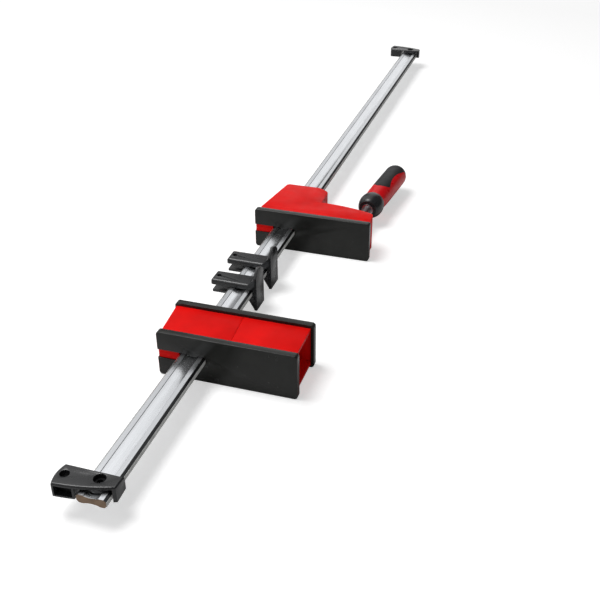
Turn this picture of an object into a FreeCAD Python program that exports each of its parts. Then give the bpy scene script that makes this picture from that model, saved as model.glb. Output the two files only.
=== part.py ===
import FreeCAD, Part
import operator
import os

import Sketcher

# Parallel clamp lying on its side on a bench.
# The origin is on the bench, under the rail's centre line and in the clamping face of the outer jaw.
# X runs along the jaws from their backs to their tips, Y along the rail to its far end, Z up.

doc = FreeCAD.newDocument("parallel_clamp")
sheet = doc.addObject("Spreadsheet::Sheet", "Sizes")

WORK = {"+": operator.add, "-": operator.sub, "*": operator.mul, "/": operator.truediv}


class Size:
    """A number together with the sheet expression that gives it."""

    def __init__(self, value, text):
        self.value = value
        self.text = text

    def __add__(self, other):
        return combine(self, "+", other)

    def __radd__(self, other):
        return combine(other, "+", self)

    def __sub__(self, other):
        return combine(self, "-", other)

    def __rsub__(self, other):
        return combine(other, "-", self)

    def __mul__(self, other):
        return combine(self, "*", other)

    def __rmul__(self, other):
        return combine(other, "*", self)

    def __truediv__(self, other):
        return combine(self, "/", other)

    def __neg__(self):
        return combine(0, "-", self)


def as_size(number):
    if isinstance(number, Size):
        return number
    return Size(float(number), repr(float(number)))


def combine(first, sign, second):
    first = as_size(first)
    second = as_size(second)
    value = WORK[sign](first.value, second.value)
    return Size(value, f"({first.text} {sign} {second.text})")


def size(name, value, meaning):
    """Write one driving dimension into the sheet and return it."""
    row = len(sheet.getUsedCells()) // 3 + 1
    sheet.set(f"A{row}", name)
    sheet.set(f"B{row}", str(value))
    sheet.set(f"C{row}", meaning)
    sheet.setAlias(f"B{row}", name)
    return Size(float(value), f"Sizes.{name}")


# Rail
rail_width = size("rail_width", 29, "width of the rail over its serrated edges")
rail_thickness = size("rail_thickness", 9, "thickness over the two lands of each face")
rail_length = size("rail_length", 1316, "length of the rail")
rail_near_reach = size("rail_near_reach", 275, "from the outer jaw's clamping face to the near end")
rail_bevel = size("rail_bevel", 2.3, "bevel along the four edges of the rail")
groove_width = size("groove_width", 14.4, "width of the face groove at its mouth")
groove_slope = size("groove_slope", 1.8, "run of each sloping groove wall")
groove_depth = size("groove_depth", 1.5, "depth of the face groove")

# Jaws
jaw_width = size("jaw_width", 52.5, "width of the clamping faces, which stand on the bench")
jaw_back = size("jaw_back", 39, "from the rail's centre line to the backs of the jaws")
outer_face_back = size("outer_face_back", 43, "how far back the outer clamping face reaches")
jaw_reach = size("jaw_reach", 112, "from the rail's centre line to the tips of the jaws")
outer_depth = size("outer_depth", 65, "depth of the outer jaw over its two covers")
jaw_opening = size("jaw_opening", 228.3, "distance between the clamping faces as shown")
cover_depth = size("cover_depth", 7.8, "depth of a cover from its face to its rim")
cover_rim = size("cover_rim", 3.6, "how far a cover's rim stands out round the housing")
back_rim = size("back_rim", 2, "thickness of the rim at the back of the outer covers")
cover_plate = size("cover_plate", 2.8, "thickness of a cover's flat plate")
cover_corner = size("cover_corner", 3.5, "radius of a cover's corners")
cover_edge = size("cover_edge", 0.7, "bevel of a cover's outer edge")
slot_gap = size("slot_gap", 0.5, "clearance of covers and housings round the rail")
guide_gap = size("guide_gap", 0.3, "clearance of the steel cores round the rail")
housing_wall = size("housing_wall", 3.5, "wall of the red housings")
key_inset = size("key_inset", 1.2, "how deep the housings' keys lie in the cover slots")
key_gap = size("key_gap", 0.2, "clearance of a key in its slot")
crease_place = size("crease_place", 37.2, "place of the parting groove across the outer housing")
crease_lean = size("crease_lean", 4.4, "how far that groove leans along the jaw from end to end")
crease_width = size("crease_width", 1.2, "width of the parting groove")
crease_depth = size("crease_depth", 0.6, "depth of the parting groove")

# Hump of the moving housing, round the rail behind its clamping face
hump_length = size("hump_length", 92.5, "from the moving clamping face to the rear of the hump")
hump_side = size("hump_side", 33, "from the rail's centre line to the side of the hump")
hump_rear_back = size("hump_rear_back", 24.5, "how far back the hump reaches at its rear end")
hump_round = size("hump_round", 5, "radius of the hump's rear corners")
back_shoulder = size("back_shoulder", 16, "straight length of the housing's back behind the face")
arm_depth = size("arm_depth", 50.3, "depth of the moving jaw beside the hump")
arm_thin_depth = size("arm_thin_depth", 39.2, "depth of the moving jaw where its tip rounds off")
arm_tip_depth = size("arm_tip_depth", 31, "depth of the moving jaw at its tip")
arm_tip_run = size("arm_tip_run", 6.2, "length along the jaw over which the tip rounds off")
arm_tip_round = size("arm_tip_round", 8, "radius of the moving jaw's tip")
arm_arc = size("arm_arc", 205, "radius of the curved rear of the moving jaw")
facet_width = size("facet_width", 13, "width of the sloping corner on top of the hump")
facet_drop = size("facet_drop", 4.5, "drop of the sloping corner on top of the hump")

# Steel cores with their catches
core_back = size("core_back", 19, "from the rail's centre line to the back of a core")
core_gap = size("core_gap", 1, "gap from the moving core's arm to the housing")
core_height = size("core_height", 29, "height of a core")
core_arm_height = size("core_arm_height", 21, "height of the outer core's arm")
core_arm_reach = size("core_arm_reach", 90, "reach of the outer core's arm along the jaw")
core_arm_depth = size("core_arm_depth", 24, "depth of the outer core's arm beside the rail")
core_arm_tip = size("core_arm_tip", 14, "depth of the outer core's arm at its end")
catch_length = size("catch_length", 20.4, "length of a toothed catch")
catch_width = size("catch_width", 8, "width of a catch")
catch_height = size("catch_height", 10, "height of a catch")
catch_gap = size("catch_gap", 0.7, "gap from a catch to the rail when it is free")
catch_play = size("catch_play", 0.8, "gap round a catch in its pocket")
tooth_pitch = size("tooth_pitch", 3, "pitch of the catch teeth")
tooth_depth = size("tooth_depth", 1.2, "depth of the catch teeth")
tooth_count = size("tooth_count", 5, "number of the notches between the catch teeth")
pin_radius = size("pin_radius", 2, "radius of a catch pin")
pin_inset = size("pin_inset", 4, "from the end of a catch to its pin")
pin_fit = size("pin_fit", 0.05, "running clearance of a pin in its hole")
spring_gauge = size("spring_gauge", 0.7, "thickness of a leaf spring")
spring_gap = size("spring_gap", 0.3, "gap from a leaf spring to its catch when that is free")
spring_height = size("spring_height", 6, "height of a leaf spring")
spring_rise = size("spring_rise", 2, "how far a leaf spring bows out from its wall")
spring_span = size("spring_span", 12, "length of a leaf spring")

# Spindle, nut and pressure foot
spindle_place = size("spindle_place", 78.1, "from the rail's centre line to the spindle at the face")
spindle_slope = size("spindle_slope", 0.1, "how far the spindle leans outwards for each millimetre")
spindle_radius = size("spindle_radius", 6, "outer radius of the spindle's screw")
spindle_core_radius = size("spindle_core_radius", 5, "radius of the spindle inside the handle")
spindle_nose_radius = size("spindle_nose_radius", 3, "radius of the nose that carries the foot")
spindle_play = size("spindle_play", 0.3, "end play of the spindle in the foot")
spindle_fit = size("spindle_fit", 0.05, "running clearance of the spindle in nut and foot")
foot_radius = size("foot_radius", 8, "radius of the pressure foot")
foot_thickness = size("foot_thickness", 4, "thickness of the pressure foot")
foot_edge = size("foot_edge", 1, "chamfer and floor thickness of the pressure foot")
foot_travel = size("foot_travel", 16, "from the pressure foot to the inside of the face wall")
foot_play = size("foot_play", 1.5, "from the pressure foot back to the nut")
nut_radius = size("nut_radius", 9, "radius of the spindle nut")
nut_length = size("nut_length", 8, "length of the spindle nut")
nut_wall = size("nut_wall", 1.2, "wall of the core round the spindle nut")
spindle_clearance = size("spindle_clearance", 1.5, "gap round the spindle in the housing's rear wall")
hex_size = size("hex_size", 6, "key width of the hex socket in the spindle's end")
hex_depth = size("hex_depth", 8, "depth of the hex socket")

# Handle, measured along the spindle
collar_place = size("collar_place", 93.5, "from the moving clamping face to the handle's collar")
collar_length = size("collar_length", 24.5, "length of the collar")
collar_front_radius = size("collar_front_radius", 13.8, "radius of the collar behind its front chamfer")
collar_rear_radius = size("collar_rear_radius", 14.9, "radius of the collar's rear")
collar_chamfer = size("collar_chamfer", 2.2, "chamfer round the collar's front")
collar_arc = size("collar_arc", 27, "radius of the collar's bulging side")
washer_radius = size("washer_radius", 7.6, "radius of the washer in front of the collar")
washer_thickness = size("washer_thickness", 1.5, "thickness of that washer")
grip_length = size("grip_length", 107, "length of the grip behind the collar")
grip_radius = size("grip_radius", 15.8, "largest radius of the grip")
neck_radius = size("neck_radius", 14.6, "radius of the grip where it meets the collar")
swell_length = size("swell_length", 30, "length over which the grip swells from its neck")
tail_radius = size("tail_radius", 7, "radius of the flat at the grip's end")
tail_length = size("tail_length", 15, "length of the round tail of the grip")
inlay_depth = size("inlay_depth", 1.8, "thickness of the soft inlay in the grip")
inlay_horn = size("inlay_horn", 13.8, "half the width of the soft inlay at its horns")
inlay_start = size("inlay_start", 21, "from the collar to the soft inlay")
inlay_nose = size("inlay_nose", 12, "length of the inlay's rounded front")
inlay_taper = size("inlay_taper", 0.5, "how much narrower the inlay is behind its waist")
inlay_cap = size("inlay_cap", 79, "from the start of the inlay to where it closes round the grip")
inlay_flare = size("inlay_flare", 17, "length over which the inlay widens to its cap")
inlay_waist_arc = size("inlay_waist_arc", 109, "radius of the inlay's drawn-in sides")
inlay_cap_arc = size("inlay_cap_arc", 60, "radius of the inlay's sides where they reach the cap")
handle_turn = size("handle_turn", -10, "how far the handle is turned about its axis, in degrees")
socket_recess = size("socket_recess", 5, "how deep the spindle's end lies in the grip")
socket_radius = size("socket_radius", 5.5, "radius of the opening in the grip's end")

# Rail pads
pad_place_near = size("pad_place_near", 72, "from the outer clamping face to the near pad")
pad_place_far = size("pad_place_far", 122, "from the outer clamping face to the far pad")
pad_length = size("pad_length", 24.5, "length of a pad's blade along the rail")
pad_gap = size("pad_gap", 0.4, "clearance of a pad round the rail")
pad_arm_reach = size("pad_arm_reach", 36.2, "from the rail's centre line to the end of a pad's arms")
pad_arm_width = size("pad_arm_width", 22.5, "width of a pad's upper arm along the rail")
pad_upper = size("pad_upper", 6.4, "thickness of a pad's upper arm")
pad_lower = size("pad_lower", 3, "thickness of a pad's lower arm")
pad_blade = size("pad_blade", 4.8, "thickness of a pad's blade beside the rail")
pad_blade_end = size("pad_blade_end", 3.3, "thickness of a blade at its upper and lower end")
pad_shoulder = size("pad_shoulder", 20.3, "height of a blade's front shoulder above the rail's middle")
pad_peak = size("pad_peak", 30.3, "height of a blade's peak above the rail's middle")
pad_peak_run = size("pad_peak_run", 9.5, "from a pad's front to the peak of its blade")
pad_rear_drop = size("pad_rear_drop", 4.2, "drop of a blade's top from its peak to its rear bend")
pad_rear_run = size("pad_rear_run", 4.5, "from the rear bend to the rear of a blade")
pad_foot = size("pad_foot", 21.5, "depth of a blade's foot below the rail's middle")
pad_gusset_run = size("pad_gusset_run", 7, "run of the gussets from a blade onto its arms")
pad_gusset_gap = size("pad_gusset_gap", 1.5, "from the end of a gusset to the end of the blade")
pad_hook = size("pad_hook", 3.1, "size of the hooks that hold a pad on the rail")
pad_setback = size("pad_setback", 5, "how far the lower arm stands back from the upper")
pad_chamfer = size("pad_chamfer", 3, "rounding at the end of a pad's arms")
pad_brow = size("pad_brow", 3.2, "rounding along the front of the upper arm")
pad_hole_radius = size("pad_hole_radius", 2.8, "radius of the hole in a pad's arm")
pad_hole_inset = size("pad_hole_inset", 6.5, "from the end of a pad's arm to its hole")

# End stops
stop_back = size("stop_back", 39.5, "from the rail's centre line to the back of an end stop")
stop_corner = size("stop_corner", 2.6, "how far a stop's rounded back bulges out")
stop_side = size("stop_side", 3.2, "thickness of a stop's leg at its front")
stop_flare = size("stop_flare", 1, "how much thicker the leg is at its rear")
stop_length = size("stop_length", 25.5, "length of a stop along the rail")
stop_top = size("stop_top", 10, "height of a stop's top above the rail's middle")
stop_plate = size("stop_plate", 2.8, "thickness of a stop's top plate")
stop_leg = size("stop_leg", 6.4, "depth of a stop's leg below the rail's middle")
stop_leg_rise = size("stop_leg_rise", 3, "rise of the leg's lower edge towards its rear")
stop_block = size("stop_block", 4.6, "depth of a stop's block below the rail's middle")
block_gap = size("block_gap", 2.5, "gap from a stop's block to the rail")
block_wall = size("block_wall", 1.8, "wall round the recess in a stop's block")
block_recess = size("block_recess", 7.5, "depth of that recess from the rail's end")
stop_narrow = size("stop_narrow", 11.2, "from the rail's end to the stop on its narrow side")
stop_front_arc = size("stop_front_arc", 180, "radius of a stop's bowed front")
stop_edge = size("stop_edge", 1.8, "rounding of a stop's top edges")
stop_fit = size("stop_fit", 0.1, "clearance of a stop beside the rail")
boss_radius = size("boss_radius", 12, "radius of the boss under a stop's plate")
peg_place = size("peg_place", 17.4, "from the rail's end to the peg's axis")
peg_head_radius = size("peg_head_radius", 5.7, "radius of a peg's head")
peg_radius = size("peg_radius", 4, "radius of a peg's shank")
peg_bore_radius = size("peg_bore_radius", 3, "radius of the bore in a peg")
peg_floor = size("peg_floor", 1.5, "thickness of the floor under a peg's bore")
peg_fit = size("peg_fit", 0.05, "clearance of a peg in its holes")
peg_recess = size("peg_recess", 4, "how deep a peg's head lies in the stop's plate")
hang_hole_radius = size("hang_hole_radius", 4.5, "radius of the hanging hole in a stop")
hang_hole_back = size("hang_hole_back", 8.2, "from a stop's back to its hanging hole")
hang_hole_place = size("hang_hole_place", 13.9, "from the rail's end to the hanging hole")

# How far a cutting outline runs past the piece that it cuts
past = size("past", 1, "overrun of a cut past the face where it starts")

doc.recompute()

# Places worked out from the sizes
middle = jaw_width / 2
half_rail = rail_width / 2
half_thickness = rail_thickness / 2
near_end = -rail_near_reach
far_end = rail_length - rail_near_reach
housing_back = jaw_back - cover_rim
housing_tip = jaw_reach - cover_rim
housing_low = cover_rim
housing_high = jaw_width - cover_rim
cavity_low = housing_low + housing_wall
cavity_high = housing_high - housing_wall
cavity_back = housing_back - housing_wall
cavity_tip = housing_tip - housing_wall
outer_front = -outer_depth + cover_plate
outer_rear = -cover_plate
moving_front = jaw_opening + cover_plate
hump_rear = jaw_opening + hump_length
core_side = hump_side - housing_wall
spring_wall = half_rail + catch_gap + catch_width + spring_gap + spring_gauge + spring_rise

# Places along the spindle, from the moving clamping face
foot_front = cover_plate + housing_wall + foot_travel
nut_front = foot_front + foot_thickness + foot_play
nut_rear = nut_front + nut_length
washer_front = collar_place - washer_thickness
grip_front = collar_place + collar_length
grip_rear = grip_front + grip_length
spindle_line = (
    f"vector({spindle_place.text}; {jaw_opening.text}; {middle.text}); "
    f"rotation(vector(0; 0; 1); -atan({spindle_slope.text}))"
)


# Builders shared by the sub-parts
def bind(thing, path, number):
    thing.setExpression(path, as_size(number).text)


def new_body(label):
    body = doc.addObject("PartDesign::Body", label)
    body.Label = label
    return body


def place_on_spindle(body):
    """Lay a body that is built round its own Y axis on the leaning spindle."""
    turn = f"rotation(vector(0; 1; 0); {handle_turn.text})"
    body.setExpression("Placement", f"placement({spindle_line} * {turn})")


def sketch_on(body, role, offset):
    """A sketch on one of the body's origin planes, moved along the plane's normal."""
    plane = next(item for item in body.Origin.OriginFeatures if item.Role == role)
    sketch = body.newObject("Sketcher::SketchObject", f"{body.Name}_sketch")
    sketch.AttachmentSupport = [(plane, "")]
    sketch.MapMode = "FlatFace"
    bind(sketch, "AttachmentOffset.Base.z", offset)
    return sketch


def hold(sketch, edge, end, x, y):
    """Hold one end of an edge at its two distances from the sketch's origin."""
    for kind, number in (("DistanceX", x), ("DistanceY", y)):
        rule = Sketcher.Constraint(kind, -1, 1, edge, end, as_size(number).value)
        place = sketch.addConstraint(rule)
        bind(sketch, f"Constraints[{place}]", number)


def arc_between(start, end, radius):
    """The short arc from start to end; a positive radius turns to the left, a negative one to the right."""
    chord = end - start
    rise = max(radius * radius - chord.Length**2 / 4, 0) ** 0.5
    left = FreeCAD.Vector(-chord.y, chord.x, 0).normalize()
    side = 1 if radius > 0 else -1
    centre = start + chord / 2 + left * rise * side
    top = centre - left * abs(radius) * side
    return Part.Arc(start, top, end)


def outline(sketch, points):
    """A closed outline; a point with a third number is reached by an arc of that radius."""
    first = sketch.GeometryCount
    count = len(points)
    corners = [FreeCAD.Vector(as_size(p[0]).value, as_size(p[1]).value, 0) for p in points]
    ends = []
    for i in range(count):
        after = (i + 1) % count
        radius = as_size(points[after][2]).value if len(points[after]) > 2 else 0
        if radius:
            sketch.addGeometry(arc_between(corners[i], corners[after], radius), False)
        else:
            sketch.addGeometry(Part.LineSegment(corners[i], corners[after]), False)
        ends.append((2, 1) if radius < 0 else (1, 2))
    for i in range(count):
        after = (i + 1) % count
        link = Sketcher.Constraint("Coincident", first + i, ends[i][1], first + after, ends[after][0])
        sketch.addConstraint(link)
        hold(sketch, first + i, ends[i][0], points[i][0], points[i][1])
    for i in range(count):
        bend = points[(i + 1) % count]
        if len(bend) > 2:
            size_of_arc = abs(as_size(bend[2]).value)
            place = sketch.addConstraint(Sketcher.Constraint("Radius", first + i, size_of_arc))
            bind(sketch, f"Constraints[{place}]", bend[2] if as_size(bend[2]).value > 0 else -bend[2])


def rectangle(sketch, left, low, right, high):
    outline(sketch, [(left, low), (right, low), (right, high), (left, high)])


def circle(sketch, x, y, radius):
    edge = sketch.GeometryCount
    centre = FreeCAD.Vector(as_size(x).value, as_size(y).value, 0)
    sketch.addGeometry(Part.Circle(centre, FreeCAD.Vector(0, 0, 1), as_size(radius).value), False)
    place = sketch.addConstraint(Sketcher.Constraint("Radius", edge, as_size(radius).value))
    bind(sketch, f"Constraints[{place}]", radius)
    hold(sketch, edge, 3, x, y)


def add_prism(body, role, low, high, draw):
    """Add material between two places along the plane's axis; draw fills the sketch."""
    sketch = sketch_on(body, role, -high if role == "XZ_Plane" else low)
    draw(sketch)
    feature = body.newObject("PartDesign::Pad", f"{body.Name}_pad")
    feature.Profile = sketch
    bind(feature, "Length", high - low)
    return feature


def cut_prism(body, role, low, high, draw):
    """Take material away between two places along the plane's axis; draw fills the sketch."""
    sketch = sketch_on(body, role, -low if role == "XZ_Plane" else high)
    draw(sketch)
    feature = body.newObject("PartDesign::Pocket", f"{body.Name}_pocket")
    feature.Profile = sketch
    bind(feature, "Length", high - low)
    return feature


def turn_round(body, kind, points):
    """Revolve or groove an outline about the body's Y axis."""
    sketch = sketch_on(body, "XY_Plane", 0)
    outline(sketch, points)
    feature = body.newObject(f"PartDesign::{kind}", f"{body.Name}_{kind.lower()}")
    feature.Profile = sketch
    feature.ReferenceAxis = (sketch, ["V_Axis"])
    feature.Angle = 360
    return feature


def bore_on_spindle(body, low, high, radius):
    """Cut a round hole along the leaning spindle into a body that stands square to the rail."""
    sketch = sketch_on(body, "XY_Plane", 0)
    sketch.setExpression("AttachmentOffset", f"placement({spindle_line})")
    rectangle(sketch, 0, low, radius, high)
    feature = body.newObject("PartDesign::Groove", f"{body.Name}_bore")
    feature.Profile = sketch
    feature.ReferenceAxis = (sketch, ["V_Axis"])
    feature.Angle = 360


def edges_of(body, wanted):
    """The body's last feature with the names of its edges whose middle and direction the test accepts."""
    doc.recompute()
    names = []
    for number, edge in enumerate(body.Tip.Shape.Edges, 1):
        start = edge.valueAt(edge.FirstParameter)
        end = edge.valueAt(edge.LastParameter)
        if wanted((start + end) / 2, end - start):
            names.append(f"Edge{number}")
    return body.Tip, names


def round_edges(body, radius, wanted):
    chosen = edges_of(body, wanted)
    feature = body.newObject("PartDesign::Fillet", f"{body.Name}_fillet")
    feature.Base = chosen
    bind(feature, "Radius", radius)


def bevel_edges(body, width, wanted):
    chosen = edges_of(body, wanted)
    feature = body.newObject("PartDesign::Chamfer", f"{body.Name}_chamfer")
    feature.Base = chosen
    bind(feature, "Size", width)


# Allowance when edges are looked up by their place, in mm
tolerance = 0.01


def near(number, wanted):
    return abs(number - as_size(wanted).value) < tolerance


def runs_along(direction, axis):
    """True for a straight step along one of the axes x, y and z."""
    other = [abs(getattr(direction, name)) for name in "xyz" if name != axis]
    return max(other) < tolerance < abs(getattr(direction, axis))


def rail_quarter(gap):
    """The corners of a quarter of the rail's section, from its narrow side to its groove."""
    mouth = groove_width / 2 - gap
    return [
        (half_rail + gap, half_thickness - rail_bevel),
        (half_rail - rail_bevel, half_thickness + gap),
        (mouth, half_thickness + gap),
        (mouth - groove_slope, half_thickness - groove_depth + gap),
    ]


def rail_hole(gap):
    """Draw the rail's section, widened by a gap, in a cross plane."""
    def draw(sketch):
        wide = half_rail + gap
        thick = half_thickness + gap
        rectangle(sketch, -wide, middle - thick, wide, middle + thick)
    return draw


# Rail with its end stops
def make_rail():
    def section(sketch):
        quarter = rail_quarter(0)
        points = [(x, middle + z) for x, z in quarter]
        points += [(-x, middle + z) for x, z in reversed(quarter)]
        points += [(-x, middle - z) for x, z in quarter]
        points += [(x, middle - z) for x, z in reversed(quarter)]
        outline(sketch, points)

    def peg_holes(sketch):
        circle(sketch, 0, near_end + peg_place, peg_radius + peg_fit)
        circle(sketch, 0, far_end - peg_place, peg_radius + peg_fit)

    body = new_body("rail")
    add_prism(body, "XZ_Plane", near_end, far_end, section)
    cut_prism(body, "XY_Plane", middle - half_thickness, middle + half_thickness, peg_holes)
    return body


def make_stop(label, end, inward):
    """A stop at one end of the rail; inward is the way along Y to the other end."""
    def along(distance):
        return end + inward * distance

    side = half_rail + stop_fit
    leg = side + stop_side
    top = middle + stop_top
    bottom = middle - stop_leg
    plate_low = top - stop_plate
    rail_top = middle + half_thickness
    block_low = middle - stop_block
    block_side = -half_rail - block_gap
    back = -stop_back + stop_corner
    back_arc = (stop_length * stop_length / 4 + stop_corner * stop_corner) / (2 * stop_corner)

    def plan(sketch):
        outline(sketch, [
            (back, along(stop_length)),
            (back, along(0), back_arc * inward),
            (leg, along(stop_narrow), stop_front_arc * inward),
            (leg + stop_flare, along(stop_length)),
        ])

    def channel(sketch):
        rectangle(sketch, block_side, along(-past), side, along(stop_length + past))

    def under_block(sketch):
        rectangle(sketch, -stop_back - past, along(-past), -half_rail, along(stop_length + past))

    def under_leg(sketch):
        outline(sketch, [
            (along(stop_narrow), bottom),
            (along(stop_length), bottom),
            (along(stop_length), bottom + stop_leg_rise),
        ])

    def recess(sketch):
        left = back + block_wall
        rectangle(sketch, left, along(-past), block_side - block_wall, along(block_recess))

    def boss(sketch):
        outline(sketch, [
            (-boss_radius, along(peg_place)),
            (0, along(peg_place - boss_radius), boss_radius * inward),
            (boss_radius, along(peg_place), boss_radius * inward),
            (boss_radius, along(stop_length)),
            (-boss_radius, along(stop_length)),
        ])

    def peg_hole(sketch):
        circle(sketch, 0, along(peg_place), peg_head_radius + peg_fit)

    def hang_hole(sketch):
        circle(sketch, -stop_back + hang_hole_back, along(hang_hole_place), hang_hole_radius)

    body = new_body(label)
    add_prism(body, "XY_Plane", bottom, top, plan)
    round_edges(body, stop_edge, lambda place, way: near(place.z, top) and near(way.z, 0))
    cut_prism(body, "XY_Plane", bottom, plate_low, channel)
    cut_prism(body, "XY_Plane", bottom, block_low, under_block)
    cut_prism(body, "YZ_Plane", side, leg + stop_flare, under_leg)
    cut_prism(body, "XY_Plane", block_low + block_wall, plate_low, recess)
    add_prism(body, "XY_Plane", rail_top, plate_low, boss)
    cut_prism(body, "XY_Plane", rail_top, top, peg_hole)
    cut_prism(body, "XY_Plane", bottom, top, hang_hole)
    return body


def make_peg(label, end, inward):
    """The hollow peg that locks a stop in the rail's hole."""
    head_top = middle + stop_top - peg_recess
    seat = middle + half_thickness
    foot = middle - half_thickness + groove_depth

    def head(sketch):
        circle(sketch, 0, end + inward * peg_place, peg_head_radius)

    def shank(sketch):
        circle(sketch, 0, end + inward * peg_place, peg_radius)

    def bore(sketch):
        circle(sketch, 0, end + inward * peg_place, peg_bore_radius)

    body = new_body(label)
    add_prism(body, "XY_Plane", seat, head_top, head)
    add_prism(body, "XY_Plane", foot, seat, shank)
    cut_prism(body, "XY_Plane", foot + peg_floor, head_top, bore)
    return body


# Jaw covers: flat plates with a rim all round, open at the back where they pass over the rail
def make_cover(label, face, inward, back, rim_at_back):
    """A cover with its outer face at one place along Y; inward is the way into the jaw."""
    rim = face + inward * cover_depth
    inner = face + inward * cover_plate
    low, high = (face, rim) if inward > 0 else (rim, face)
    cut_low, cut_high = (inner, rim) if inward > 0 else (rim, inner)

    def whole(sketch):
        rectangle(sketch, -back, 0, jaw_reach, jaw_width)

    def tray(sketch):
        rectangle(sketch, -back + rim_at_back, housing_low, housing_tip, housing_high)

    def rail_slot(sketch):
        half = half_thickness + slot_gap
        upper = [(x, z) for x, z in rail_quarter(slot_gap)]
        upper += [(-x, z) for x, z in reversed(rail_quarter(slot_gap)[2:])]
        upper.append((-back - past, half))
        lower = [(x, -z) for x, z in reversed(upper)]
        outline(sketch, [(x, middle + z) for x, z in upper + lower])

    body = new_body(label)
    add_prism(body, "XZ_Plane", low, high, whole)
    round_edges(body, cover_corner, lambda place, way: runs_along(way, "y"))
    bevel_edges(body, cover_edge, lambda place, way: near(place.y, face) and near(way.y, 0))
    cut_prism(body, "XZ_Plane", cut_low, cut_high, tray)
    cut_prism(body, "XZ_Plane", low, high, rail_slot)
    return body


def add_key(body, face, inward, back):
    """The part of a housing that fills a cover's slot beside the rail."""
    start = face + inward * key_inset
    end = face + inward * cover_depth
    low, high = (start, end) if inward > 0 else (end, start)

    def section(sketch):
        half = half_thickness + slot_gap - key_gap
        rectangle(sketch, -back + key_inset, middle - half, -half_rail - slot_gap, middle + half)

    add_prism(body, "XZ_Plane", low, high, section)


# Outer jaw
def make_outer_housing():
    near_back = jaw_back - back_rim
    far_back = outer_face_back - back_rim

    def block(sketch):
        outline(sketch, [
            (-near_back, outer_front),
            (housing_tip, outer_front),
            (housing_tip, outer_rear),
            (-far_back, outer_rear),
            (-far_back, outer_rear - cover_depth),
            (-near_back, outer_front + cover_depth),
        ])

    def cavity(sketch):
        front = outer_front + housing_wall
        rectangle(sketch, -cavity_back, front, housing_tip + past, outer_rear - housing_wall)

    def crease(sketch):
        half = crease_width / 2
        rear = crease_place - crease_lean / 2
        front = crease_place + crease_lean / 2
        outline(sketch, [
            (front - half, outer_front),
            (front + half, outer_front),
            (rear + half, outer_rear),
            (rear - half, outer_rear),
        ])

    body = new_body("outer_housing")
    add_prism(body, "XY_Plane", housing_low, housing_high, block)
    add_key(body, -outer_depth, 1, jaw_back)
    add_key(body, as_size(0), -1, outer_face_back)
    cut_prism(body, "XY_Plane", cavity_low, cavity_high, cavity)
    cut_prism(body, "XZ_Plane", -outer_depth, as_size(0), rail_hole(slot_gap))
    cut_prism(body, "XY_Plane", housing_high - crease_depth, housing_high, crease)
    return body


def add_catch_pocket(body, end, inward):
    """Cut the pocket for a toothed catch and its pin hole into a core, beside the rail."""
    inner = end + inward * (catch_length + 2 * catch_play)
    pin_y = inner - inward * (pin_inset + catch_play)

    def pocket(sketch):
        low, high = (end, inner) if inward > 0 else (inner, end)
        rectangle(sketch, half_rail - past, low, spring_wall, high)

    def pin_hole(sketch):
        circle(sketch, half_rail + catch_gap + catch_width / 2, pin_y, pin_radius)

    half = catch_height / 2 + catch_play / 2
    cut_prism(body, "XY_Plane", middle - half, middle + half, pocket)
    cut_prism(body, "XY_Plane", middle - core_height / 2, middle + core_height / 2, pin_hole)


def make_outer_core():
    front = outer_front + housing_wall
    rear = outer_rear - housing_wall
    centre = (front + rear) / 2

    def block(sketch):
        rectangle(sketch, -core_back, front, core_side, rear)

    def arm(sketch):
        wide = core_arm_depth / 2
        thin = core_arm_tip / 2
        outline(sketch, [
            (core_side, centre - wide),
            (core_arm_reach, centre - thin),
            (core_arm_reach, centre + thin),
            (core_side, centre + wide),
        ])

    body = new_body("outer_core")
    add_prism(body, "XY_Plane", middle - core_height / 2, middle + core_height / 2, block)
    add_prism(body, "XY_Plane", middle - core_arm_height / 2, middle + core_arm_height / 2, arm)
    cut_prism(body, "XZ_Plane", front, rear, rail_hole(guide_gap))
    add_catch_pocket(body, front, 1)
    return body


def make_catch(label, end, inward):
    """A toothed plate beside the rail that bites when the jaw tilts; end is the core's open end."""
    outer_end = end + inward * catch_play
    inner_end = outer_end + inward * catch_length
    low, high = (outer_end, inner_end) if inward > 0 else (inner_end, outer_end)
    left = half_rail + catch_gap
    right = left + catch_width
    pin_y = inner_end - inward * pin_inset

    def plate(sketch):
        rectangle(sketch, left, low, right, high)

    def notch(sketch):
        start = outer_end + inward * tooth_pitch / 2
        outline(sketch, [
            (left - past, start),
            (left - past, start + inward * tooth_pitch),
            (left, start + inward * tooth_pitch),
            (left + tooth_depth, start + inward * tooth_pitch / 2),
            (left, start),
        ])

    def pin_hole(sketch):
        circle(sketch, (left + right) / 2, pin_y, pin_radius + pin_fit)

    bottom = middle - catch_height / 2
    top = middle + catch_height / 2
    body = new_body(label)
    add_prism(body, "XY_Plane", bottom, top, plate)
    cut_prism(body, "XY_Plane", bottom, top, pin_hole)
    teeth = cut_prism(body, "XY_Plane", bottom, top, notch)
    row = body.newObject("PartDesign::LinearPattern", f"{label}_teeth")
    row.Originals = [teeth]
    row.Direction = (teeth.Profile[0], ["V_Axis"])
    row.Reversed = inward < 0
    bind(row, "Occurrences", tooth_count)
    bind(row, "Length", tooth_pitch * (tooth_count - 1))
    body.Tip = row
    return body


def make_catch_pin(label, end, inward):
    pin_y = end + inward * (catch_length + catch_play - pin_inset)

    def section(sketch):
        circle(sketch, half_rail + catch_gap + catch_width / 2, pin_y, pin_radius)

    body = new_body(label)
    add_prism(body, "XY_Plane", middle - core_height / 2, middle + core_height / 2, section)
    return body


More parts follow.
